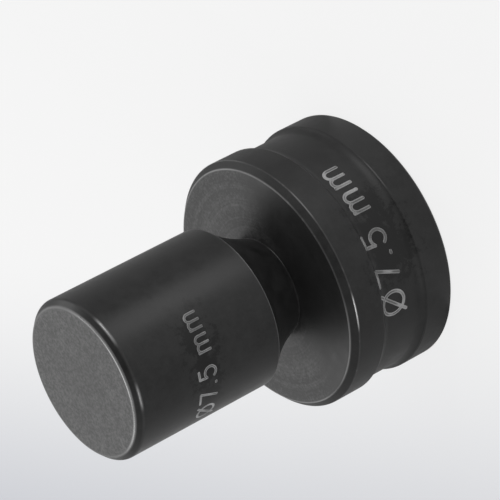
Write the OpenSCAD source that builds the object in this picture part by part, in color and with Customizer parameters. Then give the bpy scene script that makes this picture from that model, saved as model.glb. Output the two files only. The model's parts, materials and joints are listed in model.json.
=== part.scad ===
// Round hole punch and its die for a hydraulic press, nested as they are kept:
// the punch's tip stands in the die's bore and its shoulder rests on the die's face.
// Both pieces are turned from solid bar, so each one is a profile revolved about Z.
// Lengths are in millimetres. The origin is the centre of the die's base, +Z points to the punch's butt.

/* [Punch] */
// Diameter of the plain shank that the ram holds
shank_d = 20; // [18:0.1:30]
// Length of the shank, from its lower edge to the butt
shank_len = 20.6; // [10:0.1:40]
// Chamfer round the butt, at 45 degrees
butt_chamfer = 0.75; // [0.2:0.05:2]
// Length of the nose, from the shoulder to the shank
nose_len = 6.4; // [4:0.1:10]
// Radius of the hollow curve that narrows the nose
nose_hollow = 17; // [12:0.5:60]
// Width of the flat shoulder round the tip
shoulder_w = 2.4; // [0.8:0.05:3.5]
// Diameter of the cutting tip, which is the size of the hole it punches
tip_d = 7.5; // [4:0.1:10]
// Length of the cutting tip below the shoulder
tip_len = 9; // [4:0.1:12]

/* [Die] */
// Outside diameter of the die
die_d = 31.3; // [28:0.1:50]
// Height of the die
die_h = 15.3; // [14:0.1:30]
// Chamfer round the face, at 45 degrees
face_chamfer = 0.8; // [0.2:0.05:1.5]
// Broken edge round the base, at 45 degrees
base_chamfer = 0.3; // [0.1:0.05:1]
// Height of the plain rim between the base and the holding groove
rim_h = 3.95; // [2:0.05:5]
// Width of the holding groove where it opens
groove_w = 6.75; // [3:0.05:7]
// Depth of the holding groove
groove_depth = 0.57; // [0.2:0.01:1.5]
// Radius in both corners of the groove's floor
groove_fillet = 1.6; // [0.3:0.05:2]

/* [Bore] */
// Radial gap between the tip and the cutting bore
shear_clearance = 0.15; // [0.05:0.01:0.3]
// Length of the straight cutting bore below the face
cutting_len = 5; // [2:0.1:8]
// How much wider than the cutting bore the slug outlet is, on each side
outlet_step = 1.1; // [0.3:0.1:3]
// Chamfer round the outlet's mouth in the base
mouth_chamfer = 0.4; // [0.1:0.05:1]

/* [Hidden] */
round_steps = 180;
curve_steps = 10;
black_oxide = [0.17, 0.17, 0.18];
polished_oxide = [0.22, 0.22, 0.23];

shank_r = shank_d / 2;
tip_r = tip_d / 2;
nose_r = tip_r + shoulder_w;
shoulder_z = die_h;
tip_z = shoulder_z - tip_len;
nose_z = shoulder_z + nose_len;
butt_z = nose_z + shank_len;

die_r = die_d / 2;
bore_r = tip_r + shear_clearance;
outlet_r = bore_r + outlet_step;
cutting_z = die_h - cutting_len;
outlet_z = cutting_z - outlet_step;

floor_r = die_r - groove_depth;
groove_top = rim_h + groove_w;
// A groove no deeper than its fillet has walls that are part of the fillet's arc.
wall_angle = groove_depth < groove_fillet ? acos(groove_depth / groove_fillet - 1) : 90;
wall_run = groove_fillet * sin(wall_angle);

// Points of an arc about a centre, from one angle to another.
function arc(centre, radius, from, to) =
    [for (i = [0 : curve_steps])
        let (a = from + (to - from) * i / curve_steps)
        centre + radius * [cos(a), sin(a)]];

// Corner where a straight wall of the groove meets the outside, for a groove deeper than its fillet.
function wall_corner(z) = groove_depth > groove_fillet ? [[die_r, z]] : [];

// The groove's section from its upper edge, round both fillets, to its lower edge.
groove_section = concat(
    wall_corner(groove_top),
    arc([floor_r + groove_fillet, groove_top - wall_run], groove_fillet, wall_angle, 180),
    arc([floor_r + groove_fillet, rim_h + wall_run], groove_fillet, 180, 360 - wall_angle),
    wall_corner(rim_h));

// Half section of the die: face, chamfered edge, grooved outside, base, slug outlet and cutting bore.
die_section = concat(
    [[bore_r, die_h],
     [die_r - face_chamfer, die_h],
     [die_r, die_h - face_chamfer]],
    groove_section,
    [[die_r, base_chamfer],
     [die_r - base_chamfer, 0],
     [outlet_r + mouth_chamfer, 0],
     [outlet_r, mouth_chamfer],
     [outlet_r, outlet_z],
     [bore_r, cutting_z]]);

// The nose's hollow curve: an arc about a centre outside the punch, from the shoulder up to the shank.
nose_chord = [shank_r - nose_r, nose_len];
nose_lean = atan2(nose_chord.x, nose_chord.y);
nose_half_turn = asin(norm(nose_chord) / 2 / nose_hollow);
nose_centre = [nose_r, shoulder_z] + nose_chord / 2
    + nose_hollow * cos(nose_half_turn) * [cos(nose_lean), -sin(nose_lean)];
nose_section = arc(nose_centre, nose_hollow,
    180 - nose_lean + nose_half_turn, 180 - nose_lean - nose_half_turn);

// Half section of the punch: tip, flat shoulder, hollow nose, shank and chamfered butt.
punch_section = concat(
    [[0, tip_z],
     [tip_r, tip_z],
     [tip_r, shoulder_z]],
    nose_section,
    [[shank_r, butt_z - butt_chamfer],
     [shank_r - butt_chamfer, butt_z],
     [0, butt_z]]);

module die() {
    color(black_oxide)
        rotate_extrude($fn = round_steps)
            polygon(die_section);
}

module punch() {
    color(polished_oxide)
        rotate_extrude($fn = round_steps)
            polygon(punch_section);
}

die();
punch();
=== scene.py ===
# %% [markdown]
# # A round hole punch standing in its die
#
# The object is a pair of press tools in blackened steel. The punch is a plain round shank with a
# tapering nose, and its cutting tip stands in the bore of a grooved round die. Both were turned on a
# lathe, so this lesson makes each of them the way the lathe did: a profile, carried once round the axis.
#
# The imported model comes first. It fixes where every piece is, and nothing below moves or resizes it.

import json

import bpy
import numpy as np
from mathutils import Matrix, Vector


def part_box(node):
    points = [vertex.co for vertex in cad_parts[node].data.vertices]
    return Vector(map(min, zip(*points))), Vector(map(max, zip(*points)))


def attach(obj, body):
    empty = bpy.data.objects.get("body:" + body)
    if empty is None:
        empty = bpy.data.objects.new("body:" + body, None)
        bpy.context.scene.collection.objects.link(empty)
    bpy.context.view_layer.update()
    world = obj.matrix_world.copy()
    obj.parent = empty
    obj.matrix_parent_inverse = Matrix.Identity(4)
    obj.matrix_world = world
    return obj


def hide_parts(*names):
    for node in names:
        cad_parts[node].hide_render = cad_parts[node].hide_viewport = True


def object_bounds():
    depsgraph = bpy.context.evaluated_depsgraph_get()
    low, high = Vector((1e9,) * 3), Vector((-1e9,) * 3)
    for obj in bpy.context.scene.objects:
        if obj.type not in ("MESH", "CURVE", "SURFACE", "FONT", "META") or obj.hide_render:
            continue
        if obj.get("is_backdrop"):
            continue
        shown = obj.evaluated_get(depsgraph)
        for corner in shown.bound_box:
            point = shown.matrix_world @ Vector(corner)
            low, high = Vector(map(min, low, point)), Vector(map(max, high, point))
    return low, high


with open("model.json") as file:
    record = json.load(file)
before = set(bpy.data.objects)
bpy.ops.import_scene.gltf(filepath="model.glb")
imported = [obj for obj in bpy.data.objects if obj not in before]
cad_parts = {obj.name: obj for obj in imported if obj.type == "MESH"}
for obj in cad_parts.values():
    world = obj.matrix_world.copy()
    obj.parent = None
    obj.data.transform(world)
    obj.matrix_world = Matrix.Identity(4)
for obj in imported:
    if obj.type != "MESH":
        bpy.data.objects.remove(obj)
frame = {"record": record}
cad_box = [[float(v) for v in corner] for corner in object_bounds()]

# %% [markdown]
# ## Sizes
#
# The outer sizes could be typed in again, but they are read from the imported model, so the dressed pieces
# fit it exactly. The record's mount on the shank gives the length of its plain wall, and with it the
# height where the nose begins. The rest are the small sizes of the two profiles, in metres like
# everything else here.

# %% Sizes of the two pieces
MM = 0.001
die_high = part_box("die")[1]
punch_low, punch_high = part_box("punch")
mounts = {mount["name"]: mount for mount in frame["record"]["mounts"]}

die_r, die_h = die_high[0], die_high[2]
face_chamfer = 0.8 * MM
base_chamfer = 0.3 * MM
groove_low, groove_high = 3.95 * MM, 10.7 * MM
groove_depth, groove_fillet = 0.57 * MM, 1.6 * MM
bore_r, outlet_r = 3.9 * MM, 5.0 * MM
cutting_z = die_h - 5.0 * MM
mouth_chamfer = 0.4 * MM

shank_r, tip_z, butt_z = punch_high[0], punch_low[2], punch_high[2]
butt_chamfer = 0.75 * MM
nose_z = butt_z - butt_chamfer - mounts["punch_shank"]["dims"]["length_mm"] * MM
nose_r, tip_r = 6.15 * MM, 3.75 * MM
nose_hollow = 17.0 * MM
print(f"die {2 * die_r / MM:.1f} across and {die_h / MM:.1f} high")
print(f"shank {2 * shank_r / MM:.1f} across, from {nose_z / MM:.1f} up to {butt_z / MM:.1f}")

# %% [markdown]
# ## Edges that catch the light
#
# No edge on a real tool is perfectly sharp. A turned and tumbled edge has a radius of a tenth of a
# millimetre or a few, and that narrow round is what draws the thin bright lines round each face. A Bevel
# modifier could make it, but a profile is only a line of points, so the corners are rounded there,
# before anything is revolved.

# %% Round the corners of a profile
ARC_STEPS = np.linspace(0, 1, 8)
EASE = 0.08 * MM


def rounded(corners, radii):
    """Replace the corners of a profile by arcs.

    The arc of a corner touches both straight stretches. Its centre lies on the bisector, at the radius
    divided by the sine of half the corner's angle, and its points are the two touching directions
    blended by equal angles. One more point a little further along each stretch keeps the flat parts
    flat when they are shaded smooth. A corner with no radius stays one point.
    """
    before, after = np.roll(corners, 1, axis=0), np.roll(corners, -1, axis=0)
    back, ahead = before - corners, after - corners
    back_len, ahead_len = np.hypot(*back.T), np.hypot(*ahead.T)
    back, ahead = back / back_len[:, None], ahead / ahead_len[:, None]
    half = np.arccos(np.clip((back * ahead).sum(1), -1, 1)) / 2
    reach = radii / np.tan(half)
    centre = corners + (back + ahead) * (radii / np.sin(half) / np.hypot(*(back + ahead).T))[:, None]
    turn = (np.pi - 2 * half)[:, None, None]
    share = ARC_STEPS[None, :, None]
    first = (corners + back * reach[:, None] - centre)[:, None, :]
    last = (corners + ahead * reach[:, None] - centre)[:, None, :]
    arc = (np.sin((1 - share) * turn) * first + np.sin(share * turn) * last) / np.sin(turn)
    arc = arc + centre[:, None, :]
    back_ease = reach + np.minimum(EASE, (back_len - reach - np.roll(reach, 1)) / 3)
    ahead_ease = reach + np.minimum(EASE, (ahead_len - reach - np.roll(reach, -1)) / 3)
    rows = np.concatenate([(corners + back * back_ease[:, None])[:, None], arc,
                           (corners + ahead * ahead_ease[:, None])[:, None]], axis=1)
    kept = np.ones(rows.shape[:2], bool)
    kept[radii == 0, 2:] = False
    kept[radii == 0, 0] = False
    return rows[kept]


def hollow(start, end, radius, steps=20):
    """Points of an arc from start to end, with its centre on the left of the way.

    The centre lies off the middle of the chord, at the radius times the cosine of half the turn, and the
    sine of half the turn is half the chord divided by the radius.
    """
    start, end = np.array(start), np.array(end)
    chord = end - start
    half = np.arcsin(np.hypot(*chord) / 2 / radius)
    left = np.array([-chord[1], chord[0]]) / np.hypot(*chord)
    centre = (start + end) / 2 + left * radius * np.cos(half)
    angle = np.arctan2(*(start - centre)[::-1]) + np.linspace(0, 2 * half, steps)
    return centre + radius * np.stack([np.cos(angle), np.sin(angle)], axis=1)


def outline(*stretches):
    """A rounded profile from stretches of (radius at these points, one point or several)."""
    corners = [np.atleast_2d(points) for _, points in stretches]
    radii = [np.full(len(points), float(radius)) for points, (radius, _) in zip(corners, stretches)]
    return rounded(np.vstack(corners), np.concatenate(radii))


print("points for each rounded corner:", len(ARC_STEPS) + 2)

# %% [markdown]
# ## Turning a profile
#
# A lathe makes a surface of two parameters: how far along the profile, and how far round the axis.
# Blender's Screw modifier does the same, but worked out as one array the rings close on themselves with
# no seam to merge, and every face points outwards from the start.

# %% Revolve a profile about Z
SEGMENTS = 320


def put_in_scene(name, points, faces):
    """Make a smooth mesh object at the origin from arrays of points and faces."""
    mesh = bpy.data.meshes.new(name)
    mesh.from_pydata(points.tolist(), [], faces)
    mesh.polygons.foreach_set("use_smooth", np.ones(len(mesh.polygons), bool))
    piece = bpy.data.objects.new(name, mesh)
    bpy.context.scene.collection.objects.link(piece)
    print(name, "has", len(mesh.vertices), "points and", len(mesh.polygons), "faces")
    return piece


def turned(name, profile, closed=False):
    """Revolve a profile about Z.

    A point (radius, height) becomes the ring (radius cos t, radius sin t, height), with t in equal steps
    round the circle. Neighbouring rings are joined by quads, and the last step round is joined to the
    first. An open profile starts and ends on the axis, where a fan of triangles closes it.
    """
    turn = np.linspace(0, 2 * np.pi, SEGMENTS, endpoint=False)
    rings = profile if closed else profile[1:-1]
    radius, height = rings[:, :1], rings[:, 1:]
    points = np.stack([radius * np.cos(turn), radius * np.sin(turn), height + 0 * turn], axis=-1)
    points = points.reshape(-1, 3)
    here = np.arange(len(points)).reshape(len(rings), SEGMENTS)
    if closed:
        here = np.vstack([here, here[:1]])
    beside = np.roll(here, -1, axis=1)
    faces = np.stack([here[:-1], here[1:], beside[1:], beside[:-1]], axis=-1).reshape(-1, 4).tolist()
    if not closed:
        top, bottom = np.full(SEGMENTS, len(points)), np.full(SEGMENTS, len(points) + 1)
        points = np.vstack([points, [0, 0, profile[0, 1]], [0, 0, profile[-1, 1]]])
        faces += np.stack([top, here[0], beside[0]], axis=-1).tolist()
        faces += np.stack([bottom, beside[-1], here[-1]], axis=-1).tolist()
    return put_in_scene(name, points, faces)


# %% [markdown]
# ## The punch
#
# From the butt downwards: the flat end that the ram pushes, a chamfer, the shank, the hollow curve of
# the nose with a small fillet at its foot, a flat shoulder that rests on the die, and the cutting tip.
# Cylinders and cones could be stacked for it, but one profile leaves no joins to hide. Handling has
# rounded the butt most, and the tip's own edge stays almost sharp, because it cuts.

# %% The punch's profile and body
RUBBED, BLENDED, CRISP, CUTTING = 0.42 * MM, 0.6 * MM, 0.08 * MM, 0.01 * MM
FOOT, FOOT_LIFT, FOOT_STEPS = 0.025 * MM, 0.01 * MM, 8
nose = hollow((shank_r, nose_z), (nose_r, die_h + FOOT), nose_hollow)
foot = hollow(nose[-1], (nose_r + FOOT, die_h + FOOT_LIFT), FOOT, FOOT_STEPS)
punch = turned("punch_body", outline(
    (0, (0, butt_z)),
    (RUBBED, (shank_r - butt_chamfer, butt_z)),
    (BLENDED, (shank_r, butt_z - butt_chamfer)),
    (CRISP, nose[0]),
    (0, nose[1:]),
    (0, foot[1:]),
    (0, (nose_r + FOOT, die_h)),
    (CUTTING, [(tip_r, die_h), (tip_r, tip_z)]),
    (0, (0, tip_z))))

# %% [markdown]
# ## The die
#
# The die's section is a closed loop, because the bore goes right through: face, chamfer, the land, the
# holding groove with its round corners, the rim, the base, and back up through the slug outlet and the
# cutting bore. A Boolean modifier could cut the groove and the bore, but in the profile they are only a
# few more points. The groove is shallower than its corners are round, so its walls are nothing but those
# arcs.

# %% The die's profile and body
SOFT = 0.2 * MM
floor_r = die_r - groove_depth
wall_run = np.sqrt(groove_fillet ** 2 - (groove_fillet - groove_depth) ** 2)
groove_roof = hollow((die_r, groove_high), (floor_r, groove_high - wall_run), groove_fillet)
groove_foot = hollow((floor_r, groove_low + wall_run), (die_r, groove_low), groove_fillet)
outlet_z = cutting_z - (outlet_r - bore_r)
die = turned("die_body", outline(
    (CUTTING, (bore_r, die_h)),
    (SOFT, [(die_r - face_chamfer, die_h), (die_r, die_h - face_chamfer)]),
    (SOFT, groove_roof[0]),
    (0, groove_roof[1:]),
    (0, groove_foot[:-1]),
    (SOFT, groove_foot[-1]),
    (CRISP, [(die_r, base_chamfer), (die_r - base_chamfer, 0)]),
    (CRISP, [(outlet_r + mouth_chamfer, 0), (outlet_r, mouth_chamfer)]),
    (CRISP, [(outlet_r, outlet_z), (bore_r, cutting_z)])), closed=True)

# %% [markdown]
# ## Size marks
#
# Both pieces carry their hole size, written by a laser as single strokes of even width. Blender's Text
# object would give filled letters that then have to be bent, so the strokes are laid out as curves on a
# flat strip instead, one unit high, and the strip is wrapped round the cylinder. Each stroke is a very
# thin closed ribbon.

# %% Strokes of the characters
def straight(start, end):
    """Points evenly spaced from start to end."""
    return np.linspace(start, end, 24)


def bow(centre, size, first, last):
    """Points of an ellipse about a centre, between two angles in degrees."""
    angle = np.radians(np.linspace(first, last, 48))
    return np.stack([centre[0] + size[0] * np.cos(angle), centre[1] + size[1] * np.sin(angle)], axis=1)


def arch(left):
    """A half round and a leg, as in the letter m."""
    middle, right = left + 0.2, left + 0.4
    return np.vstack([bow((middle, 0.44), (0.2, 0.24), 180, 0), straight((right, 0.42), (right, 0))])


# Each character is its width and its strokes, in character heights.
CHARACTERS = {
    "diameter": (0.94, [bow((0.47, 0.5), (0.44, 0.5), 90, 450), straight((0, -0.06), (0.94, 1.06))]),
    "seven": (0.6, [straight((0, 1), (0.6, 1)), straight((0.6, 1), (0.2, 0))]),
    "point": (0.06, [straight((0, 0.05), (0.06, 0.05))]),
    "five": (0.58, [straight((0.52, 1), (0.1, 1)), straight((0.1, 1), (0.06, 0.56)),
                    bow((0.28, 0.33), (0.3, 0.33), 132, -142)]),
    "space": (0.1, []),
    "m": (0.8, [straight((0, 0), (0, 0.68)), arch(0), arch(0.4)]),
}
SIZE_MARK = ["diameter", "seven", "point", "five", "space", "m", "m"]
TRACKING = 0.36


def strip(words):
    """Set characters side by side; returns their strokes and the strip's width, in character heights."""
    strokes, pen = [], 0.0
    for word in words:
        width, drawn = CHARACTERS[word]
        strokes += [stroke + [pen, 0] for stroke in drawn]
        pen += width + TRACKING
    return strokes, pen - TRACKING


mark_strokes, mark_width = strip(SIZE_MARK)
print(f"the mark has {len(mark_strokes)} strokes and is {mark_width:.2f} times as wide as it is high")

# %% Wrap the strokes round a cylinder
END_ANGLES = np.radians(np.linspace(12, 78, 5))
STROKE = 0.135
SUNK, PROUD, LAYER = 0.04 * MM, 0.006 * MM, 0.0008 * MM


def ribbon(path, width, radius, surface, lift):
    """A closed ribbon along a path of (distance round, height) points on a turned surface.

    The path runs on by half a width at both ends, where the half width falls like a half circle, so the
    ends are round. Each point gives four corners: left and right of the path, just outside and inside
    the surface, whose radius is a function of the height. A corner at distance u round the piece
    stands at the angle u / radius.
    """
    along = np.gradient(path, axis=0)
    along = along / np.hypot(*along.T)[:, None]
    half = width / 2
    head = path[:1] - along[:1] * half * np.cos(END_ANGLES)[:, None]
    tail = path[-1:] + along[-1:] * half * np.cos(END_ANGLES[::-1])[:, None]
    middle = np.vstack([head, path, tail])
    along = np.vstack([np.repeat(along[:1], len(head), 0), along, np.repeat(along[-1:], len(tail), 0)])
    spread = half * np.concatenate([np.sin(END_ANGLES), np.ones(len(path)), np.sin(END_ANGLES[::-1])])
    side = np.stack([-along[:, 1], along[:, 0]], axis=1) * spread[:, None]
    flat = np.stack([middle + side, middle - side, middle - side, middle + side], axis=1)
    out = surface(flat[..., 1]) + np.array([lift, lift, -SUNK, -SUNK])
    angle = flat[..., 0] / radius
    points = np.stack([out * np.cos(angle), out * np.sin(angle), flat[..., 1]], axis=-1).reshape(-1, 3)
    ring = np.arange(len(points)).reshape(-1, 4)
    next_corner = np.roll(ring, -1, axis=1)
    sides = np.stack([ring[:-1], next_corner[:-1], next_corner[1:], ring[1:]], axis=-1).reshape(-1, 4)
    return points, np.vstack([sides, ring[:1, ::-1], ring[-1:]])


def size_mark(name, radius, surface, height, middle_angle, foot_z):
    """The size mark round a turned surface, its strip centred on an angle and its feet at a height.

    Each point keeps where it lies across its stroke, from 1 at the left edge to -1 at the right.
    """
    start = np.array([np.radians(middle_angle) * radius - mark_width * height / 2, foot_z])
    made = [ribbon(stroke * height + start, STROKE * height, radius, surface, PROUD + LAYER * number)
            for number, stroke in enumerate(mark_strokes)]
    shift = np.cumsum([0] + [len(points) for points, _ in made])
    faces = np.vstack([face + more for (_, face), more in zip(made, shift)])
    mark = put_in_scene(name, np.vstack([points for points, _ in made]), faces.tolist())
    across = mark.data.attributes.new("across", "FLOAT", "POINT")
    across.data.foreach_set("value", np.tile([1.0, -1.0, -1.0, 1.0], len(mark.data.vertices) // 4))
    return mark


# %% The two marks
PUNCH_MARK_ANGLE, DIE_MARK_ANGLE = -123, -93


def shank_wall(height):
    """Radius of the shank, the same at every height."""
    return shank_r + 0 * height


def groove_wall(height):
    """Radius of the groove: its floor, and above that the arc of its upper corner."""
    rise = np.clip(height - (groove_high - wall_run), 0, wall_run)
    return floor_r + groove_fillet - np.sqrt(groove_fillet ** 2 - rise ** 2)


punch_mark = size_mark("punch_size_mark", shank_r, shank_wall,
                       height=2.35 * MM, middle_angle=PUNCH_MARK_ANGLE, foot_z=31.0 * MM)
die_mark = size_mark("die_size_mark", floor_r, groove_wall,
                     height=3.2 * MM, middle_angle=DIE_MARK_ANGLE, foot_z=7.0 * MM)

# %% [markdown]
# ## Shader sums written as Python
#
# A finish needs a fair amount of arithmetic: radius from x and y, distance from an edge, one mask minus
# another. Placed by hand, that is a tangle of Math nodes. Here one small class holds a socket, and the
# ordinary signs add the nodes. One method makes every other kind of node.

# %% A socket that can be calculated with
class Wire:
    """An output of a shader node. Sums on wires add Math nodes, and add() makes any other node."""

    def __init__(self, socket):
        self.socket = socket

    def add(self, kind, settings, sockets, output=0):
        """A new node in the same tree: first its settings, then the values or wires of its sockets."""
        tree = self.socket.id_data
        made = tree.nodes.new(kind)
        for name, value in settings.items():
            setattr(made, name, value)
        for key, value in sockets.items():
            if isinstance(value, Wire):
                tree.links.new(value.socket, made.inputs[key])
            else:
                made.inputs[key].default_value = value
        return Wire(made.outputs[output])

    def math(self, operation, *values):
        return self.add("ShaderNodeMath", {"operation": operation}, dict(enumerate(values)))

    def __add__(self, other):
        return self.math("ADD", self, other)

    def __sub__(self, other):
        return self.math("SUBTRACT", self, other)

    def __rsub__(self, other):
        return self.math("SUBTRACT", other, self)

    def __mul__(self, other):
        return self.math("MULTIPLY", self, other)

    def __pow__(self, other):
        return self.math("POWER", self, other)

    def __abs__(self):
        return self.math("ABSOLUTE", self)

    __radd__ = __add__
    __rmul__ = __mul__

    def larger(self, other):
        """The larger of two values."""
        return self.math("MAXIMUM", self, other)

    def along(self, direction):
        """How far this place lies in a direction, which is the dot product of the two."""
        return self.add("ShaderNodeVectorMath", {"operation": "DOT_PRODUCT"}, {0: self, 1: direction},
                        output="Value")

    def fade(self, zero, one):
        """0 where this value is at zero, 1 where it is at one, with a smooth step between them."""
        return self.add("ShaderNodeMapRange", {"interpolation_type": "SMOOTHSTEP"},
                        {"Value": self, "From Min": zero, "From Max": one})

    def noise(self, scale, detail=2.0, rough=0.5):
        """Noise of about 0 to 1 at this place, in layers.

        The largest features are about 1 / scale long, and each finer layer is half as long as the one
        before and rough times as strong.
        """
        return self.add("ShaderNodeTexNoise", {},
                        {"Vector": self, "Scale": scale, "Detail": detail, "Roughness": rough})

    def swing(self, strength, scale, detail=2.0, rough=0.5):
        """Noise about 0, half of strength up and down at most."""
        return strength * (self.noise(scale, detail, rough) - 0.5)

    def mix(self, colour, other):
        """The first colour where this value is 0, the other where it is 1."""
        return self.add("ShaderNodeMix", {"data_type": "RGBA"}, {0: self, 6: colour, 7: other}, output=2)


def new_finish(name):
    """An empty material; returns it with its Principled shader and its place in millimetres."""
    material = bpy.data.materials.new(name)
    material.use_nodes = True
    tree = material.node_tree
    shader = tree.nodes["Principled BSDF"]
    place = Wire(tree.nodes.new("ShaderNodeTexCoord").outputs["Object"])
    place = place.add("ShaderNodeVectorMath", {"operation": "SCALE"}, {0: place, "Scale": 1 / MM})
    return material, shader, place


def feed(shader, **sockets):
    """Link wires into a shader's sockets, named with underscores for spaces."""
    for name, wire in sockets.items():
        shader.id_data.links.new(wire.socket, shader.inputs[name.replace("_", " ")])


# %% [markdown]
# ## Wear and darker patches
#
# On the edges the black skin has rubbed through to bare steel, more on one side of a piece than on the
# other, and most in a few places where it was knocked. Round the marks the skin is darker, in a patch with
# a ragged outline. Such places could be painted by hand on an unwrapped texture. But a worn edge is a
# circle with a known radius and height, and a mark stands at a known angle, so each mask is worked out
# from a distance instead.

# %% Masks for edges, knocks and darker skin round the marks
MARK_PATCH_FADE = 0.6


def heading(azimuth, elevation=0):
    """The direction at an angle round the axis, from +X towards +Y, and at an angle above the floor."""
    a, e = np.radians([azimuth, elevation])
    return np.array([np.cos(e) * np.cos(a), np.cos(e) * np.sin(a), np.sin(e)])


def knocked(place, edge_r, edge_z, angle, reach):
    """1 at one angle of an edge circle, falling to 0 at a distance."""
    spot = (edge_r * heading(angle) + [0, 0, edge_z]) / MM
    distance = place.add("ShaderNodeVectorMath", {"operation": "DISTANCE"}, {0: place, 1: spot},
                         output="Value")
    return distance.fade(reach, 0.4 * reach)


def worn_edges(place, radius, height, handled, edges):
    """Share of bare steel on edge circles: a strength times the handling, and more at the knocks.

    An edge is (radius, height, width of the worn line in millimetres, strength, knocks), and a knock is
    (angle, reach in millimetres, share added there).
    """
    mask = None
    for edge_r, edge_z, width, strength, knocks in edges:
        share = handled * strength
        for angle, reach, more in knocks:
            share = share + knocked(place, edge_r, edge_z, angle, reach) * more
        distance = ((radius - edge_r / MM) ** 2 + (height - edge_z / MM) ** 2) ** 0.5
        line = distance.fade(width, 0) * share
        mask = line if mask is None else mask.larger(line)
    return mask


def mark_patch(place, ragged, angle, middle_z, half_long, half_high):
    """1 round a mark on a wall, falling to 0 outside it along a ragged line."""
    aside, above = place.along(heading(angle + 90)), place.along((0, 0, 1)) - middle_z
    long_way = (abs(aside) + ragged).fade(half_long + MARK_PATCH_FADE, half_long - MARK_PATCH_FADE)
    high_way = (abs(above) + ragged).fade(half_high + MARK_PATCH_FADE, half_high - MARK_PATCH_FADE)
    return place.along(heading(angle)).fade(0.0, 1.0) * long_way * high_way


# %% [markdown]
# ## Blackened steel
#
# Black oxide is a thin dark skin on the steel. It has hardly any colour of its own: what shows is a weak,
# soft reflection that grows towards grazing angles. The skin is uneven, in patches, and the nose is
# painted a little greyer, as painted light for the light bounced up from the die's face. The flat faces
# are scuffed and ringed, and fine lines run round the walls, because the lathe's marks lie under the skin.
#
# A photographed texture would have to be fitted to each surface. Here rings and lines are the same
# thing, noise that depends only on the distance from the axis and on the height, and the patches are
# noise in all three directions. One function makes both finishes.

# %% The blackened finish
def grey(level):
    """A grey of one level, as a colour."""
    return (level, level, level, 1)


BLACK, THIN_OXIDE, BARE = grey(0), grey(0.03), grey(0.36)
# The last of these paints light: it makes the nose's skin greyer in place of the light bounced up from the
# die's face.
OXIDE_SHARE, MARK_PATCH_DARKER, NOSE_PAINTED_LIGHT = 0.43, 0.75, 0.65
FACE_ROUGH, RING_DEPTH = 0.40, 0.0012 * MM
# The near side: towards the hand on the edges, and on the die's face the part in the punch's shade, where
# fewer scuffs are partly painted shade.
NEAR_SIDE, NEAR_FADE = heading(-100), (2.0, 7.0)
# A swing is strength, features in a millimetre, layers, and how strong each finer layer is.
RINGS, LINES = (4, 1.6, 3.0, 0.7), (1, 9.0, 2.0, 0.5)
PATCHES, GRAIN = (12, 0.5, 5.0, 0.8), (8, 2.7, 2.0, 0.8)


def blackened(name, edges, edge_wear, dark_patch, face_z, face_wear_and_shade, contrast, ring_share, painted_light_below,
              rough, gloss):
    """Black oxide on turned steel: an uneven skin, a scuffed and ringed top face, edges rubbed bare.

    Both wears are a pair of shares, on the far side and on the near side. On the edges the near side is
    the one towards the hand. On the die's face the near side lies in the punch's shade, and its far
    smaller share of scuffs there is partly painted shade. A dark patch is the angle, the height and the
    half sizes of the darker skin round a mark, in degrees and millimetres, and below the height given for
    the nose the skin is painted greyer, as painted light for the light bounced up from the die's face.
    """
    material, shader, place = new_finish(name)
    x, y, z = (place.add("ShaderNodeSeparateXYZ", {}, {0: place}, output=axis) for axis in range(3))
    radius = (x * x + y * y) ** 0.5
    section = place.add("ShaderNodeCombineXYZ", {}, {0: radius, 1: 0.0, 2: z})
    rings, lines = section.swing(*RINGS), section.swing(*LINES)
    patches, grain = place.swing(*PATCHES), place.swing(*GRAIN)
    face = z.fade(face_z / MM - 0.05, face_z / MM - 0.01)
    near = place.along(NEAR_SIDE).fade(*NEAR_FADE)

    # Bare steel: scuffs on the top face, more of them towards its rim, and the worn edges. On the die's
    # face the near side gets far fewer scuffs, which darkens the part in the punch's shade: partly real
    # scuffing, partly painted shade.
    rubbed = near * place.noise(0.8, 3.0).fade(0.2, 0.42)
    edge_share = edge_wear[0] + rubbed * (edge_wear[1] - edge_wear[0])
    face_share_and_shade = face_wear_and_shade[0] + near * (face_wear_and_shade[1] - face_wear_and_shade[0])
    pattern = 1 + contrast * (0.6 * patches + grain + ring_share * rings)
    scuffs = face * face_share_and_shade * pattern * (0.75 + 0.035 * radius)
    bare = scuffs.larger(worn_edges(place, radius, z, edge_share, edges))
    bare = bare.math("MINIMUM", bare, 1.0)

    # The skin: in patches, a little paler on the top face, darker round the mark, and painted greyer at
    # the nose, as painted light for the light bounced up from the die's face.
    skin = 1 + 0.2 * patches * (1 - 0.7 * face) + 0.15 * face
    skin = skin * (1 - MARK_PATCH_DARKER * mark_patch(place, 1.2 * patches, *dark_patch))
    skin = skin * (1 + NOSE_PAINTED_LIGHT * z.fade(painted_light_below / MM, painted_light_below / MM - 0.6))
    colour = bare.mix((OXIDE_SHARE * skin).mix(BLACK, THIN_OXIDE), BARE)

    # Gloss, and the fine relief that the lathe left.
    roughness = rough + face * (FACE_ROUGH - rough) + 0.05 * lines + 0.025 * patches - 0.18 * bare
    height = lines * 0.5 + patches * 0.07 + rings * face * ring_share * 0.3
    bump = height.add("ShaderNodeBump", {}, {"Strength": 1.0, "Distance": RING_DEPTH, "Height": height})
    feed(shader, Base_Color=colour, Metallic=bare, Roughness=roughness, Normal=bump)
    shader.inputs["Specular IOR Level"].default_value = gloss
    return material


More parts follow.
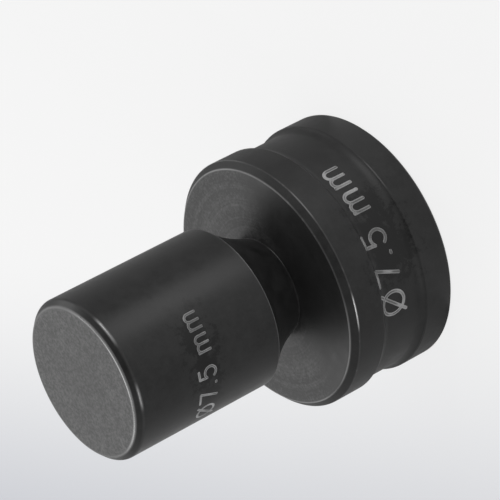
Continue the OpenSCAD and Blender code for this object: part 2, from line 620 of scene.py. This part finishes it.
# %% Blackened punch and die
PUNCH_MARK_Z = 32.2 * MM
punch_steel = blackened(
    "punch_black_oxide",
    edges=[
        (shank_r - butt_chamfer, butt_z, 0.34, 0.8, [(-95, 5.0, 0.5)]),
        (shank_r, butt_z - butt_chamfer, 0.3, 0.06, [(-67, 2.5, 0.6), (-116, 2.0, 0.5)]),
        (shank_r, nose_z, 0.14, 0.3, [(-68, 3.0, 0.15)]),
        (nose_r, die_h, 0.15, 0, [(-66, 2.0, 0.3)]),
        (tip_r, tip_z, 0.2, 0.6, []),
    ],
    edge_wear=(0.42, 1.0), dark_patch=(PUNCH_MARK_ANGLE, PUNCH_MARK_Z / MM, 6.5, 1.6),
    face_z=butt_z, face_wear_and_shade=(0.090, 0.090), contrast=0.8, ring_share=0.3, painted_light_below=nose_z,
    rough=0.39, gloss=0.32)
die_steel = blackened(
    "die_black_oxide",
    edges=[
        (die_r - face_chamfer, die_h, 0.2, 0.5, [(-136, 8.0, 0.3), (-46, 6.0, 0.25)]),
        (die_r, die_h - face_chamfer, 0.16, 0.3, [(-118, 2.8, 1.2), (-66, 3.0, 0.2)]),
        (die_r, groove_high, 0.15, 0.06, []),
        (die_r, groove_low, 0.15, 0.06, [(-69, 2.6, 0.12)]),
        (die_r, base_chamfer, 0.2, 0.15, []),
        (bore_r, die_h, 0.15, 0.4, []),
    ],
    edge_wear=(1.0, 0.3), dark_patch=(-94, 7.2, 5.0, 2.6),
    # On the die's face the near share is far smaller: this darker part of the face, in the punch's shade,
    # is partly painted shade.
    face_z=die_h, face_wear_and_shade=(0.050, 0.003), contrast=0.9, ring_share=2.0, painted_light_below=-die_h,
    rough=0.49, gloss=0.3)
print("finishes:", punch_steel.name, die_steel.name)

# %% [markdown]
# ## Laser marks
#
# The laser has burnt the black skin away, so a mark is pale grey and dull. The beam ran up one edge of
# each stroke and back down the other, which leaves a duller line along the middle, and at one place on
# each piece the strokes are duller too. A picture of the marks could hold all that, but it would blur
# close up. How far a point lies across its stroke was kept with the mesh, so the finish can read it.

# %% The marks' finish
MARK_DULL, MARK_PALE = grey(0.1), grey(0.42)
CORE_LOSS, PLACE_LOSS = 0.9, 0.4


def laser_grey(name, radius, middle_z, dull_angle, dull_reach):
    """Pale grey, uneven like the laser's dots, duller along the strokes' middles and at one place."""
    material, shader, place = new_finish(name)
    across = place.add("ShaderNodeAttribute", {"attribute_name": "across"}, {}, output="Fac")
    core = abs(across).fade(0.6, 0.2)
    dots, strokes = place.noise(5.0, 3.0), place.noise(0.4, 1.0)
    burnt = 0.5 * dots + strokes - CORE_LOSS * core * strokes.fade(0.7, 0.4)
    burnt = burnt - PLACE_LOSS * knocked(place, radius, middle_z, dull_angle, dull_reach)
    feed(shader, Base_Color=burnt.mix(MARK_DULL, MARK_PALE), Roughness=0.5 + 0.2 * dots)
    return material


punch_grey = laser_grey("punch_laser_grey", shank_r,
                        middle_z=PUNCH_MARK_Z, dull_angle=-98, dull_reach=4.0)
die_grey = laser_grey("die_laser_grey", floor_r,
                      middle_z=8.6 * MM, dull_angle=-96, dull_reach=7.0)
print("finishes:", punch_grey.name, die_grey.name)

# %% [markdown]
# ## Pieces on their bodies
#
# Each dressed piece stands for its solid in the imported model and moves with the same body, and each mark
# moves with the piece it is written on.

# %% Finishes, bodies and stand-ins
for piece, finish, body in ((punch, punch_steel, "punch"), (punch_mark, punch_grey, "punch"),
                            (die, die_steel, "die"), (die_mark, die_grey, "die")):
    piece.data.materials.append(finish)
    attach(piece, body)
    body + "_steel"
    print(piece.name, "rides on", body)
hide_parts("punch")
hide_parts("die")

# %% [markdown]
# ## The floor
#
# The set stands on a pale surface that turns a little darker and cooler to one side. A plain matt plane
# would do, but its tone would change with every lamp. So what the camera and the reflections see of it
# is mostly an even glow of that tone, and the rest is an ordinary matt surface, which keeps a soft
# shadow under the die.

# %% The floor
FLOOR_REACH, FLOOR_DROP = 3.0, 0.02 * MM
FLOOR_PALE, FLOOR_COOL = grey(0.93), (0.575, 0.59, 0.635, 1)
COOL_AXIS, COOL_FADE = (0.955, -0.295, 0), (-62.0, -3.0)
GLOW_SHARE = 0.88
corners = FLOOR_REACH * np.array([(-1, -1, 0), (1, -1, 0), (1, 1, 0), (-1, 1, 0)]) - [0, 0, FLOOR_DROP]
floor = put_in_scene("floor", corners, [[0, 1, 2, 3]])
floor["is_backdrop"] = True


def matt(shader):
    """Make a shader dull, without any gloss."""
    shader.inputs["Roughness"].default_value = 0.9
    shader.inputs["Specular IOR Level"].default_value = 0.0


def seen_rays(wire):
    """1 for rays from the camera, and for those it sends on by gloss or through glass."""
    kinds = ("Is Camera Ray", "Is Glossy Ray", "Is Transmission Ray")
    seen, mirrored, through = (wire.add("ShaderNodeLightPath", {}, {}, output=kind) for kind in kinds)
    return seen.larger(mirrored.larger(through))


def pale_floor(name):
    """Matt pale surface that glows evenly in the rays that are seen."""
    material, shader, place = new_finish(name)
    tree = material.node_tree
    tone = place.along(COOL_AXIS).fade(*COOL_FADE).mix(FLOOR_COOL, FLOOR_PALE)
    feed(shader, Base_Color=tone)
    matt(shader)
    glow = tone.add("ShaderNodeEmission", {}, {"Color": tone, "Strength": 1.0})
    both = glow.add("ShaderNodeMixShader", {}, {0: seen_rays(tone) * GLOW_SHARE,
                                                1: Wire(shader.outputs[0]), 2: glow})
    tree.links.new(both.socket, tree.nodes["Material Output"].inputs["Surface"])
    return material


floor.data.materials.append(pale_floor("pale_floor"))

# %% [markdown]
# ## Soft boxes
#
# Dark glossy steel shows little but what it mirrors. A large soft box behind and above is what the flat
# ends mirror to the camera, so it sets how pale they are. Seen from the front, a smaller one behind on
# the right lights the chamfers of that side, and two narrow ones in front draw the glints on the rounded
# edges. A low lamp close to the right flank, out of the camera's sight, draws the soft band along the
# shank. A picture of a studio wrapped round the scene could do all this at once, but single lamps can be
# moved one by one.

# %% Lamps round the object
STUDIO_R = 0.5
NARROW = (0.06, 0.2)


def set_up(name, data, place, axes):
    """A lamp or camera at a place, from the directions of its right, its top and its back."""
    made = bpy.data.objects.new(name, data)
    made.matrix_world = Matrix.Translation(place) @ Matrix(np.column_stack(axes).tolist()).to_4x4()
    bpy.context.scene.collection.objects.link(made)
    return made


def soft_box(name, azimuth, elevation, distance, size, radiance):
    """A rectangular lamp that faces the object; its power is radiance times area times pi."""
    lamp = bpy.data.lights.new(name, "AREA")
    lamp.shape = "RECTANGLE"
    lamp.size, lamp.size_y = size
    lamp.energy = radiance * size[0] * size[1] * np.pi
    away, side = heading(azimuth, elevation), heading(azimuth + 90)
    print(name, f"gives {lamp.energy:.2f} W from {azimuth} degrees round, {elevation} up")
    return set_up(name, lamp, away * distance + [0, 0, butt_z / 2], [side, np.cross(away, side), away])


soft_box("back_box", 90, 38, STUDIO_R, (0.7, 0.34), 1.25)
soft_box("side_box", 28, 26, STUDIO_R, (0.24, 0.16), 2.8)
soft_box("right_box", -40, 20, STUDIO_R, NARROW, 9.2)
soft_box("left_box", -140, 20, STUDIO_R, NARROW, 7.0)
low_lamp = soft_box("low_lamp", -52, -9, 0.045, (0.022, 0.028), 2.0)
low_lamp.visible_camera = False
low_lamp.visible_diffuse = False

# %% [markdown]
# ## Cards for the reflections
#
# Towards the outline the walls mirror the pale floor and would glare. In a studio, grey cards are laid
# beside the object, just out of the picture. A darker floor would do it too, but it would be seen. So
# here two cards lie on the floor and are hidden from the camera, which leaves them only to the
# reflections.

# %% Two grey cards
CARD_FROM, CARD_FADE = 11.0 * MM, (14.0, 40.0)


def grey_card(name, azimuth, rise, near, far):
    """A matt card on the floor, from under the die's edge outwards, that only the reflections see.

    It is graded from a near grey to a far one by how far out a point lies in the card's direction.
    """
    out, aside = heading(azimuth), heading(azimuth + 90)
    edges = np.array([(CARD_FROM, FLOOR_REACH), (CARD_FROM, -FLOOR_REACH),
                      (FLOOR_REACH, -FLOOR_REACH), (FLOOR_REACH, FLOOR_REACH)])
    card = put_in_scene(name, edges @ np.array([out, aside]) + [0, 0, rise - FLOOR_DROP], [[0, 1, 2, 3]])
    material, shader, place = new_finish(name)
    feed(shader, Base_Color=place.along(out).fade(*CARD_FADE).mix(grey(near), grey(far)))
    matt(shader)
    card.data.materials.append(material)
    card.visible_camera = False
    card.visible_diffuse = False
    card.visible_shadow = False
    card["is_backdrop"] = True


grey_card("right_card", 25, 0.01 * MM, 0.8, 0.56)
grey_card("left_card", 172, 0.005 * MM, 0.95, 0.75)

# %% [markdown]
# ## The sky
#
# All round stand the walls of a pale room, a little darker at the back. One plain background colour
# would light the set as well, but then the near edges and chamfers would shine. A dark flag high in
# front, as photographers use it, keeps them dark.

# %% The sky
SKY_FRONT, SKY_BACK, SKY_FADE = grey(0.66), grey(0.55), (-0.2, 0.8)
FLAG, FLAG_GREY, FLAG_FADE = heading(-90, 59), grey(0.22), (0.72, 0.97)
world = bpy.data.worlds.new("studio")
bpy.context.scene.world = world
world.use_nodes = True
sky = Wire(world.node_tree.nodes.new("ShaderNodeTexCoord").outputs["Generated"])
walls = sky.along((0, 1, 0)).fade(*SKY_FADE).mix(SKY_FRONT, SKY_BACK)
tone = sky.along(FLAG).fade(*FLAG_FADE).mix(walls, FLAG_GREY)
world.node_tree.links.new(tone.socket, world.node_tree.nodes["Background"].inputs["Color"])
print("sky:", world.name, "with a flag towards", FLAG.round(2))

# %% [markdown]
# ## The camera
#
# The view looks down on the standing set from about a third of the way up, through a long lens, and is
# rolled by more than a right angle, so that the axis runs down to the left of the picture. It could be
# set by eye in the viewport. Here it was fitted to the ellipses of the round edges, which is why its
# values are not round.

# %% The camera
PICTURE, SENSOR = 500, 36.0
FOCAL_PIXELS = 3165
camera_distance, camera_elevation, camera_roll = 377.5 * MM, 33.26, -117.28
aim = np.array([4.63, 0, 14.72]) * MM

lens = bpy.data.cameras.new("camera")
lens.sensor_width = SENSOR
lens.lens = FOCAL_PIXELS * SENSOR / PICTURE
eye = camera_distance * heading(-90, camera_elevation)
forward = (aim - eye) / np.linalg.norm(aim - eye)
level = np.cross(forward, [0, 0, 1])
level = level / np.linalg.norm(level)
upright = np.cross(level, forward)
roll = np.radians(camera_roll)
right = np.cos(roll) * level + np.sin(roll) * upright
up = np.cos(roll) * upright - np.sin(roll) * level
bpy.context.scene.camera = set_up("camera", lens, eye, [right, up, -forward])
bpy.context.scene.view_settings.view_transform = "Standard"
print(f"lens {lens.lens:.1f} mm at {camera_distance / MM:.0f} mm")

# %% [markdown]
# ## Checking the size
#
# The dressed pieces must not be larger than the imported model, so both boxes are measured and their
# largest difference is printed.

# %% Sizes kept for comparison
visual_box = [[float(v) for v in corner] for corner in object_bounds()]
differences = np.abs(np.array(cad_box) - np.array(visual_box))
print("largest difference", differences.max() / MM, "mm")
